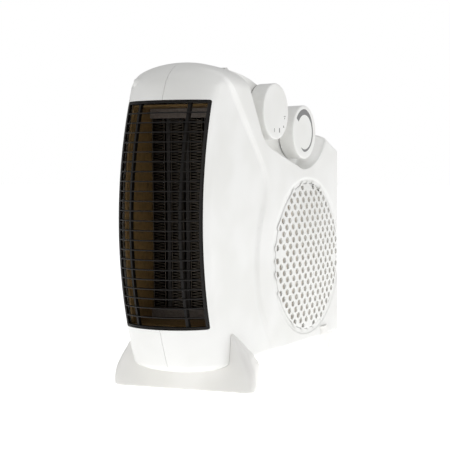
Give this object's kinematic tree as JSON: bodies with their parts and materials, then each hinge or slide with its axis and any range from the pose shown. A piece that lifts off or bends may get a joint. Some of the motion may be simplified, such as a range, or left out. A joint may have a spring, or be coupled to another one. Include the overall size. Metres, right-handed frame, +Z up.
{
  "type": "ceramic space heater",
  "caption": "Upright fan heater: bowed outlet grille over a finned ceramic element, round perforated side inlet with a blower behind, side knobs and flared feet.",
  "frame": {"origin": "on the floor, under the middle of the overall box", "axes": "+Z up; the outlet faces -Y; the control knobs are on the +X side"},
  "size_m": [0.1286, 0.2498, 0.2375],
  "materials": {
    "white_abs": "satin gloss white",
    "black_plastic": "semi-matt black-brown",
    "dark_plastic": "matt",
    "mica_board": "olive-brown insulating board",
    "holder_board": "matt grey-brown",
    "aluminium": "plain foil",
    "ceramic": "matt fired ceramic",
    "steel": "plated",
    "copper": "enamelled winding wire"
  },
  "bodies": {
    "housing": {"right_shell": "white_abs", "left_shell": "white_abs", "inlet_grille": "white_abs", "outlet_grille": "black_plastic", "front_foot": "white_abs", "rear_foot": "white_abs", "housing_screw_1": "steel", "housing_screw_2": "steel", "housing_screw_3": "steel", "housing_screw_4": "steel", "cord_gland": "dark_plastic", "power_switch": "dark_plastic", "thermostat": "ceramic", "bimetal_strip": "copper", "heater_duct": "mica_board", "lower_holder": "holder_board", "upper_holder": "holder_board", "fin_column_1": "aluminium", "fin_column_2": "aluminium", "fin_column_3": "aluminium", "fin_column_4": "aluminium", "ceramic_bar_1": "ceramic", "ceramic_bar_2": "ceramic", "ceramic_bar_3": "ceramic", "terminal_1": "steel", "terminal_2": "steel", "thermal_cutout": "aluminium", "lower_duct_screw": "steel", "upper_duct_screw": "steel", "blower_scroll": "dark_plastic", "scroll_cover": "dark_plastic", "motor_core": "steel", "motor_coil": "copper", "rear_bearing_bridge": "steel", "front_bearing_bridge": "steel"},
    "power_control": {"power_knob": "white_abs", "switch_shaft": "steel"},
    "thermostat_control": {"thermostat_knob": "white_abs", "thermostat_shaft": "steel"},
    "fan": {"blower_wheel": "dark_plastic", "motor_axle": "steel", "rotor": "aluminium"}
  },
  "joints": [
    {"name": "power_knob_turn", "type": "hinge", "parent": "housing", "child": "power_control", "pos_m": [0.04834, 0.0009, 0.2033], "axis": [0.9903, -0.1392, 0], "range_deg": [-90, 0]},
    {"name": "thermostat_knob_turn", "type": "hinge", "parent": "housing", "child": "thermostat_control", "pos_m": [0.05547, 0.0517, 0.1883], "axis": [0.9903, -0.1392, 0], "range_deg": [-261, 0]},
    {"name": "fan_spin", "type": "hinge", "parent": "housing", "child": "fan", "pos_m": [0, 0.0559, 0.088], "axis": [1, 0, 0], "continuous": true}
  ]
}
